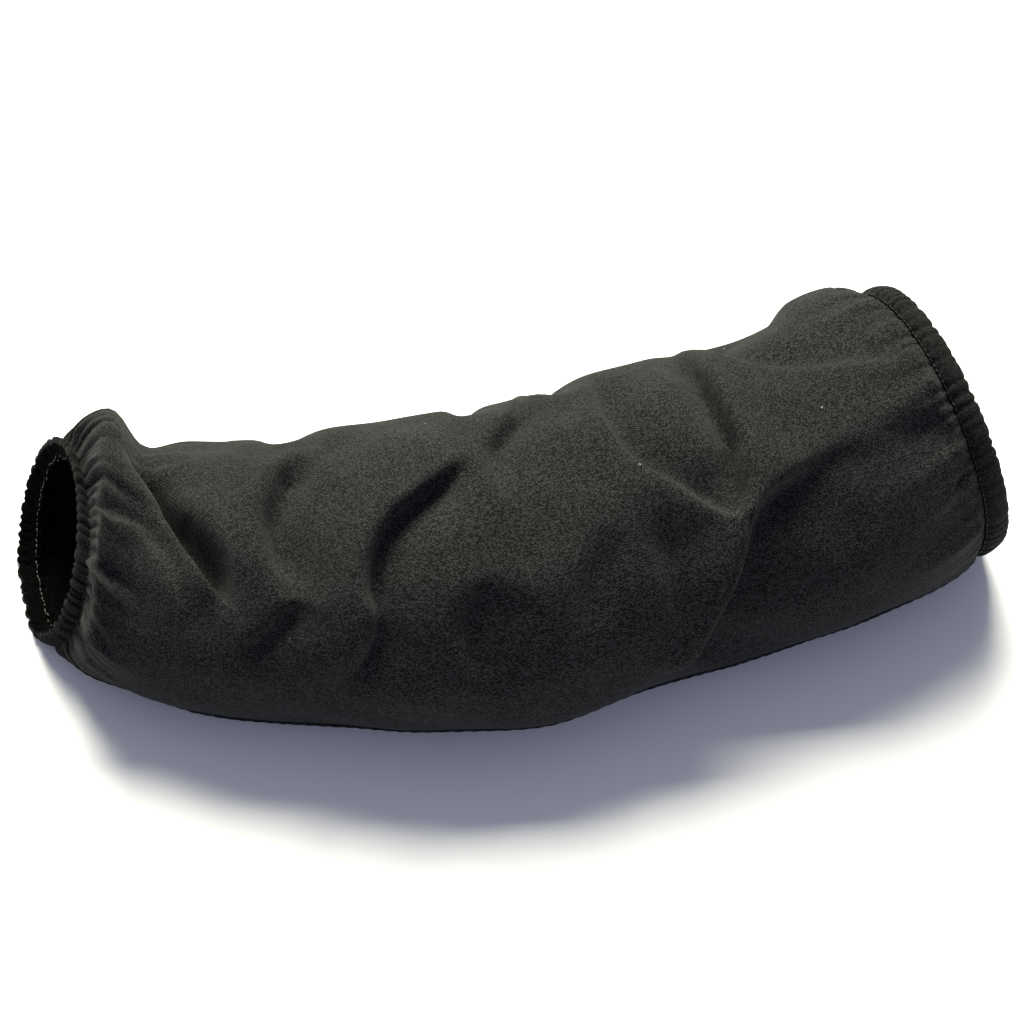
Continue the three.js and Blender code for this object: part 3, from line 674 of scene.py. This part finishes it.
def twill_group():
    """Shader group of the twill: slanting lines of grey weft between dark warp, broken by uneven yarns,
    with a slow change of shade and a few specks of lint. Each float is darker at its edges, painted shade
    between the yarns. Puts out a colour and a height."""
    tree = bpy.data.node_groups.new("Twill weave", "ShaderNodeTree")
    for name, kind in (("Map", "Vector"), ("Warp", "Color"), ("Weft", "Color"), ("Line", "Float")):
        tree.interface.new_socket(name, in_out="INPUT", socket_type=f"NodeSocket{kind}")
    for name, kind in (("Color", "Color"), ("Height", "Float")):
        tree.interface.new_socket(name, in_out="OUTPUT", socket_type=f"NodeSocket{kind}")
    given = tree.nodes.new("NodeGroupInput").outputs
    put = tree.nodes.new("NodeGroupOutput").inputs
    axes = node(tree, "ShaderNodeSeparateXYZ", Vector=given["Map"]).outputs
    cell = math_node(tree, "MULTIPLY", given["Line"], 2**0.5 / 3)
    wander = node(tree, "ShaderNodeTexNoise", Vector=given["Map"], Scale=WEAVE["wander"], Detail=1.0).outputs[0]
    cells_gone = (math_node(tree, "DIVIDE", axis, cell) for axis in axes[:2])
    length, breadth = (math_node(tree, "ADD", gone, wander) for gone in cells_gone)
    row = math_node(tree, "FLOOR", breadth)
    stepped = math_node(tree, "ADD", length, row)
    place = math_node(tree, "FLOORED_MODULO", stepped, 3.0)
    weft = math_node(tree, "LESS_THAN", place, 1.0)
    warp_share = math_node(tree, "MULTIPLY", math_node(tree, "SUBTRACT", place, 1.0), 0.5)
    share = node(tree, "ShaderNodeMix", i0=weft, i2=warp_share, i3=place).outputs[0]
    across = (share, math_node(tree, "FRACT", breadth))
    arches = (math_node(tree, "SINE", math_node(tree, "MULTIPLY", way, np.pi)) for way in across)
    crown = math_node(tree, "POWER", math_node(tree, "MULTIPLY", *arches), 0.5)
    float_number = math_node(tree, "FLOOR", math_node(tree, "DIVIDE", stepped, 3.0))
    one_float = node(tree, "ShaderNodeCombineXYZ", X=float_number, Y=row, Z=weft).outputs[0]
    salt = node(tree, "ShaderNodeTexWhiteNoise", Vector=one_float).outputs[0]
    on_warp = math_node(tree, "MULTIPLY_ADD", salt, *WEAVE["on_warp"])
    on_weft = math_node(tree, "MULTIPLY_ADD", salt, *WEAVE["on_weft"])
    light = node(tree, "ShaderNodeMix", i0=weft, i2=on_warp, i3=on_weft).outputs[0]
    # The crown darkens each float towards its edges as painted shade between yarns, and also gives the bump its
    # height
    mask = math_node(tree, "MULTIPLY", light, math_node(tree, "MULTIPLY_ADD", crown, *WEAVE["crown"]))
    weave = colour_mix(tree, mask, given["Warp"], given["Weft"])
    drift = node(tree, "ShaderNodeTexNoise", Vector=given["Map"], Scale=WEAVE["drift"], Detail=2.0).outputs[0]
    shade_range = dict(zip(("To Min", "To Max"), WEAVE["shade"]))
    shade = node(tree, "ShaderNodeMapRange", Value=drift, **shade_range).outputs[0]
    shaded = node(tree, "ShaderNodeVectorMath", set_operation="SCALE", i0=weave, Scale=shade).outputs[0]
    cells = node(tree, "ShaderNodeTexVoronoi", Vector=given["Map"], Scale=LINT["cells"])
    speck = math_node(tree, "LESS_THAN", cells.outputs["Distance"], LINT["radius"])
    drawn = node(tree, "ShaderNodeSeparateColor", Color=cells.outputs["Color"]).outputs[0]
    chosen = math_node(tree, "GREATER_THAN", drawn, LINT["without"])
    lint = math_node(tree, "MULTIPLY", math_node(tree, "MULTIPLY", speck, chosen), LINT["strength"])
    tree.links.new(colour_mix(tree, lint, shaded, LINT["colour"]), put["Color"])
    tree.links.new(mask, put["Height"])
    return tree


def new_material(name):
    """A material, its node tree and its shader."""
    material = bpy.data.materials.new(name)
    material.use_nodes = True
    return material, material.node_tree, material.node_tree.nodes["Principled BSDF"]


def twill_material(name):
    """Matte twill: the weave group drives the base colour and a fine bump. Sheen stands for the yarns' fuzz.
    The shade darkens the yarn colours, gloss and sheen together; the low shade of the inner faces is painted
    shade.
    """
    finish, (shade, bump) = bpy.context.scene.sleeve_finish, CLOTHS[name]
    group = bpy.data.node_groups.get("Twill weave") or twill_group()
    material, tree, shader = new_material(name)
    weave_map = node(tree, "ShaderNodeUVMap", set_uv_map="weave").outputs[0]
    weave = tree.nodes.new("ShaderNodeGroup")
    weave.node_tree = group
    tree.links.new(weave_map, weave.inputs["Map"])
    weave.inputs["Warp"].default_value = [shade * c for c in finish.warp] + [1]
    weave.inputs["Weft"].default_value = [shade * c for c in finish.weft] + [1]
    weave.inputs["Line"].default_value = finish.line
    tree.links.new(weave.outputs["Color"], shader.inputs["Base Color"])
    relief = node(tree, "ShaderNodeBump", Height=weave.outputs["Height"], Strength=bump, Distance=0.25 * MM)
    tree.links.new(relief.outputs[0], shader.inputs["Normal"])
    shader.inputs["Roughness"].default_value = 0.95
    # Gloss and sheen scale with the shade, so the inner faces lose them too, as part of their painted shade
    shader.inputs["Specular IOR Level"].default_value = 0.1 * shade
    shader.inputs["Sheen Weight"].default_value = 0.027 * shade
    shader.inputs["Sheen Roughness"].default_value = 0.6
    return material


def thread_material(name, colour):
    """Twisted sewing thread: slanting plies across the stitch's own map change its height, and its colour as
    painted shade between the plies and painted highlight on them.
    """
    material, tree, shader = new_material(name)
    stitch_map = node(tree, "ShaderNodeUVMap", set_uv_map="weave").outputs[0]
    axes = node(tree, "ShaderNodeSeparateXYZ", Vector=stitch_map).outputs
    slant = math_node(tree, "ADD", axes[0], axes[1])
    plies = math_node(tree, "SINE", math_node(tree, "MULTIPLY", slant, PLY_TURN))
    mask = node(tree, "ShaderNodeMapRange", Value=plies, **{"From Min": -1.0}).outputs[0]
    # Darker between the plies and lighter on them: painted shade and highlight of the twist
    dark, light = [0.6 * c for c in colour] + [1], [1.1 * c for c in colour] + [1]
    tree.links.new(colour_mix(tree, mask, dark, light), shader.inputs["Base Color"])
    relief = node(tree, "ShaderNodeBump", Height=mask, Strength=0.4, Distance=0.1 * MM)
    tree.links.new(relief.outputs[0], shader.inputs["Normal"])
    shader.inputs["Roughness"].default_value = 0.7
    return material


def floor_material(colour):
    """Pale matte floor with a very faint mottle."""
    material, tree, shader = new_material("pale_floor")
    place = node(tree, "ShaderNodeTexCoord").outputs["Object"]
    mottle = node(tree, "ShaderNodeTexNoise", Vector=place, Scale=3.0, Detail=2.0).outputs[0]
    darker = [0.985 * c for c in colour] + [1]
    tree.links.new(colour_mix(tree, mottle, darker, list(colour) + [1]), shader.inputs["Base Color"])
    shader.inputs["Roughness"].default_value = 0.9
    shader.inputs["Specular IOR Level"].default_value = 0.1
    return material


def closed_curve(corners, count):
    """Points on a smooth closed curve through the corners, by Catmull-Rom pieces at even parameters."""
    place = np.linspace(0, len(corners), count, endpoint=False)
    k = place.astype(int)
    t = (place - k)[:, None]
    return catmull_rom(*(corners[(k + shift) % len(corners)] for shift in (-1, 0, 1, 2)), t)


def casing_grid(end, from_rim, offset, around):
    """Points of a casing: its wall's profile carried round the rim. The pinches press both faces in, at full
    depth by the stitches and less at the rim, which they notch."""
    depth = pinch_depth(GATHERS[end], around, np.zeros_like(around))
    face = np.clip((offset - CASING_MIDDLE) / CASING_HALF, -1, 1)
    sewn = smooth_step((from_rim - SEWN_START) / SEWN_REACH)
    outside = RIM_PINCH + (STITCH_PINCH - RIM_PINCH) * sewn
    inside = -RIM_PINCH + (STITCH_PINCH + RIM_PINCH) * sewn
    press = np.where(face > 0, outside, inside)
    relief = offset - depth * press * np.where(face > 0, face, np.maximum(-face, sewn))
    notched = from_rim + NOTCH_SHARE * depth * np.exp(-from_rim / NOTCH_REACH)
    along = notched if end == "wrist" else LENGTH - notched
    floor = np.where(offset > CASING_MIDDLE, 0.0, -(offset - LINING_LEVEL) * LINING_SLOPE)
    return cloth_points(along, around, relief, floor)


def casing_object(end, sizes, cloth, painted_shade_lining):
    """One casing, a closed ring of doubled cloth."""
    samples = GATHERS[end]["pinches"] * sizes.pinch_points
    profile = closed_curve(CASING_PROFILE, sizes.casing_points)
    columns = DENSE_SIDE + 360 * crowded(samples, CASING_CROWDING)
    from_rim, around = np.meshgrid(profile[:, 0], columns, indexing="ij")
    offset = np.broadcast_to(profile[:, 1:], from_rim.shape)
    points = casing_grid(end, from_rim, offset, around)
    girth = girth_at(RIMS[end]) * GATHER_FULLNESS
    walk = np.cumsum(np.linalg.norm(np.diff(profile, axis=0, prepend=profile[:1]), axis=1)) * MM
    map_u = np.broadcast_to(walk[:, None], from_rim.shape)
    map_v = (around - DENSE_SIDE) / 360 * girth
    # Faces on the casing's inner side take the lining cloth, darkened as painted shade
    inside = (profile[:, 1] < CASING_MIDDLE) * np.ones(len(profile), int)
    if end == "arm":
        points, map_u, map_v, inside = points[::-1], map_u[::-1], map_v[::-1], np.roll(inside[::-1], -1)
    ring = grid_object(f"{end}_casing_gathered", points, map_u, map_v, girth)
    finish_piece(ring, cloth, "casing_twill", f"{end}_casing")
    ring.data.materials.append(painted_shade_lining)
    ring.data.polygons.foreach_set("material_index", np.repeat(inside, samples).astype(np.int32))
    return ring


def stitch_object(name, starts, ends, out, thread):
    """Many stitches as one mesh. Each is a thread whose middle line is an arch from start to end, with rings of
    six points round it that close to small caps at both tips."""
    share, radius, rise = STITCH_RINGS["share"], thread * STITCH_RINGS["radius"], thread * STITCH_RINGS["rise"]
    sides = np.radians(np.arange(STITCH_SIDES) * 360 / STITCH_SIDES)
    run = ends - starts
    aside = np.cross(out, run / np.linalg.norm(run, axis=1, keepdims=True))
    middle = starts[:, None] + share[None, :, None] * run[:, None] + rise[None, :, None] * out[:, None]
    ring = np.cos(sides)[:, None] * aside[:, None, None] + np.sin(sides)[:, None] * out[:, None, None]
    points = middle[:, :, None] + radius[None, :, None, None] * ring
    count, rings, around = points.shape[:3]
    quads = grid_faces(rings, around, False).reshape(-1, 4)[:, ::-1]
    first = np.arange(count)[:, None, None] * rings * around
    faces = (quads[None] + first).reshape(-1, 4).tolist()
    caps = np.stack([np.arange(around), np.arange(around)[::-1] + (rings - 1) * around])
    faces += (caps[None] + first).reshape(-1, around).tolist()
    mesh = bpy.data.meshes.new(name)
    mesh.from_pydata(points.reshape(-1, 3).tolist(), [], faces)
    corner = corner_numbers(mesh)
    lay_map(mesh, share[corner // around % rings] * STITCH_MAP[0], corner % around * STITCH_MAP[1])
    return link_object(name, mesh)


def sew_row(name, end, from_rim, offset, sizes, thread):
    """A row of stitches round a casing, at a distance from its rim and an offset from the tube's surface."""
    count = int(girth_at(RIMS[end]) / sizes.stitch)
    edges = np.arange(count)[:, None] * 360 / count + np.array([[0.0, STITCH_SHARE * 360 / count]])
    rim, level = np.full(edges.shape, from_rim), np.full(edges.shape, offset)
    points = casing_grid(end, rim, level, edges)
    probe = STITCH_PROBE if offset > CASING_MIDDLE else -STITCH_PROBE
    lifted = casing_grid(end, rim, level + probe, edges)
    out = (lifted - points).mean(1)
    out = out / np.linalg.norm(out, axis=1, keepdims=True)
    stitches = stitch_object(name, points[:, 0], points[:, 1], out, sizes.thread)
    finish_piece(stitches, thread, "casing_twill")


def seam_object(sizes):
    """The felled seam: a flat ribbon with rounded edges that follows the body, with slight puckers along it."""
    half = sizes.seam_width / MM / 2
    end = CASING + SEAM_CLEARANCE
    place = np.linspace(end, LENGTH - end, sizes.seam_rows)
    along, across = np.meshgrid(place, half * SEAM_ACROSS, indexing="ij")
    wave = SEAM_PUCKER["height"] * np.sin(2 * np.pi * along / SEAM_PUCKER["length"])
    lift = SEAM_LIFT[None] + wave * (SEAM_LIFT[None] > SEAM_PUCKER["above"])
    points = body_points(along, SEAM_AROUND + across / mm_per_degree(along), lift)
    map_u, map_v = along * MM, across * MM
    return grid_object("side_seam_felled", points[::-1], map_u[::-1], map_v[::-1], 0.0, close_rows=False)


def floor_object(stage):
    """A square floor well past the camera's view, a hair under the cloth."""
    mesh = bpy.data.meshes.new("floor")
    signs = ((-1, -1), (1, -1), (1, 1), (-1, 1))
    mesh.from_pydata([(x * FLOOR_HALF, y * FLOOR_HALF, FLOOR_LEVEL) for x, y in signs], [], [(0, 1, 2, 3)])
    floor = link_object("floor", mesh)
    floor.data.materials.append(floor_material(stage.floor))


def area_light(name, power, size, place, colour):
    """A square soft light that points at the sleeve's middle."""
    light = bpy.data.lights.new(name, "AREA")
    light.energy, light.size, light.color = power, size, colour
    lamp = bpy.data.objects.new(name, light)
    lamp.location = place
    lamp.rotation_euler = (Vector((0, 0, AIM_HEIGHT)) - Vector(place)).to_track_quat("-Z", "Y").to_euler()
    bpy.context.scene.collection.objects.link(lamp)


def camera_object(stage):
    """A camera that looks along +Y and down on the sleeve, at the photograph's angle."""
    lens = bpy.data.cameras.new("camera")
    lens.lens, lens.sensor_width = stage.lens, SENSOR_WIDTH
    camera = bpy.data.objects.new("camera", lens)
    target = Vector((-BOX_MIDDLE[0] * MM, -BOX_MIDDLE[1] * MM, AIM_HEIGHT))
    back = Vector((0, -np.cos(stage.elevation), np.sin(stage.elevation)))
    camera.location = target + stage.distance * back
    camera.rotation_euler = (-back).to_track_quat("-Z", "Y").to_euler()
    bpy.context.scene.collection.objects.link(camera)
    bpy.context.scene.camera = camera


class SLEEVE_OT_body(bpy.types.Operator):
    """Makes the tube of twill with its folds and gathers"""

    bl_idname = "sleeve.body"
    bl_label = "Sleeve body"

    def execute(self, context):
        sizes = context.scene.sleeve_sizes
        outer, inner, along, around = body_grids(sizes.body_rows, sizes.body_columns, sizes.wall)
        girth = girth_at(LENGTH / 2)
        map_u = np.concatenate([along.ravel(), along[:, ::2].ravel()]) * MM
        map_v = np.concatenate([around.ravel(), around[:, ::2].ravel()]) / 360 * girth
        outer_number = np.arange(outer[..., 0].size).reshape(outer.shape[:2])
        inner_number = outer.size // 3 + np.arange(inner[..., 0].size).reshape(inner.shape[:2])
        front = grid_faces(*outer.shape[:2], False).reshape(-1, 4)
        back = grid_faces(*inner.shape[:2], False).reshape(-1, 4)[:, ::-1] + inner_number[0, 0]
        wrist_lip = lip_faces(outer_number[0], inner_number[0])[:, ::-1]
        lips = np.concatenate([wrist_lip, lip_faces(outer_number[-1], inner_number[-1])])
        points = np.concatenate([outer.reshape(-1, 3), inner.reshape(-1, 3)])
        faces = front.tolist() + back.tolist() + lips.tolist()
        body = mesh_object("twill_body", points, faces, map_u, map_v, girth)
        finish_piece(body, twill_material("dark_twill"), "twill", "sleeve_body")
        # The inner face takes a cloth darkened as painted shade for the dim inside of the sleeve
        body.data.materials.append(twill_material("twill_back_painted_shade"))
        side = np.zeros(len(faces), np.int32)
        side[len(front):len(front) + len(back)] = 1
        body.data.polygons.foreach_set("material_index", side)
        return {"FINISHED"}


class SLEEVE_OT_casings(bpy.types.Operator):
    """Makes the gathered casings at the wrist and the upper arm"""

    bl_idname = "sleeve.casings"
    bl_label = "Gathered casings"

    def execute(self, context):
        cloth = twill_material("casing_twill")
        # The casings' inner faces take a cloth darkened as painted shade
        painted_shade_lining = twill_material("casing_lining_painted_shade")
        rings = [casing_object(end, context.scene.sleeve_sizes, cloth, painted_shade_lining) for end in GATHERS]
        return {"FINISHED"}


class SLEEVE_OT_stitches(bpy.types.Operator):
    """Sews the casings: dark needle thread outside, grey bobbin thread inside"""

    bl_idname = "sleeve.stitches"
    bl_label = "Casing stitches"

    def execute(self, context):
        sizes, finish = context.scene.sleeve_sizes, context.scene.sleeve_finish
        bobbin = thread_material("bobbin_thread", finish.bobbin)
        needle = thread_material("needle_thread", finish.needle)
        for end in GATHERS:
            for side, thread in (("inner", bobbin), ("outer", needle)):
                sew_row(f"{end}_{side}_stitches", end, *STITCH_ROWS[side], sizes, thread)
        return {"FINISHED"}


class SLEEVE_OT_seam(bpy.types.Operator):
    """Makes the felled side seam"""

    bl_idname = "sleeve.seam"
    bl_label = "Side seam"

    def execute(self, context):
        strip = seam_object(context.scene.sleeve_sizes)
        finish_piece(strip, twill_material("seam_twill"), "seam_twill", "side_seam")
        return {"FINISHED"}


class SLEEVE_OT_stage(bpy.types.Operator):
    """Lays the floor, hangs the lights and places the camera"""

    bl_idname = "sleeve.stage"
    bl_label = "Stage"

    def execute(self, context):
        stage = context.scene.sleeve_stage
        floor_object(stage)
        area_light("key", stage.key, **KEY_LIGHT)
        area_light("fill", stage.fill, **FILL_LIGHT)
        world = bpy.data.worlds.new("studio")
        world.use_nodes = True
        background = world.node_tree.nodes["Background"].inputs
        background["Color"].default_value = SKY_COLOUR
        background["Strength"].default_value = stage.sky
        context.scene.world = world
        context.scene.view_settings.view_transform = "Standard"
        camera_object(stage)
        return {"FINISHED"}


class SLEEVE_PT_panel(bpy.types.Panel):
    """Lists the sleeve's pieces and settings"""

    bl_idname = "SLEEVE_PT_panel"
    bl_label = "Cut-Resistant Sleeve"
    bl_space_type = "VIEW_3D"
    bl_region_type = "UI"
    bl_category = "Sleeve"

    def draw(self, context):
        for operator in OPERATORS:
            self.layout.operator(operator.bl_idname)
        for group in (context.scene.sleeve_sizes, context.scene.sleeve_finish, context.scene.sleeve_stage):
            box = self.layout.box()
            for name in group.__annotations__:
                box.prop(group, name)


GROUPS = dict(sleeve_sizes=SleeveSizes, sleeve_finish=SleeveFinish, sleeve_stage=SleeveStage)
OPERATORS = (SLEEVE_OT_body, SLEEVE_OT_casings, SLEEVE_OT_stitches, SLEEVE_OT_seam, SLEEVE_OT_stage)


def register():
    for made in (*GROUPS.values(), *OPERATORS, SLEEVE_PT_panel):
        bpy.utils.register_class(made)
    for name, group in GROUPS.items():
        setattr(bpy.types.Scene, name, PointerProperty(type=group))


def unregister():
    for name in GROUPS:
        delattr(bpy.types.Scene, name)
    for made in (SLEEVE_PT_panel, *OPERATORS, *GROUPS.values()):
        bpy.utils.unregister_class(made)


def main():
    register()
    bpy.ops.sleeve.body()
    bpy.ops.sleeve.casings()
    bpy.ops.sleeve.stitches()
    bpy.ops.sleeve.seam()
    bpy.ops.sleeve.stage()


if __name__ == "__main__":
    main()
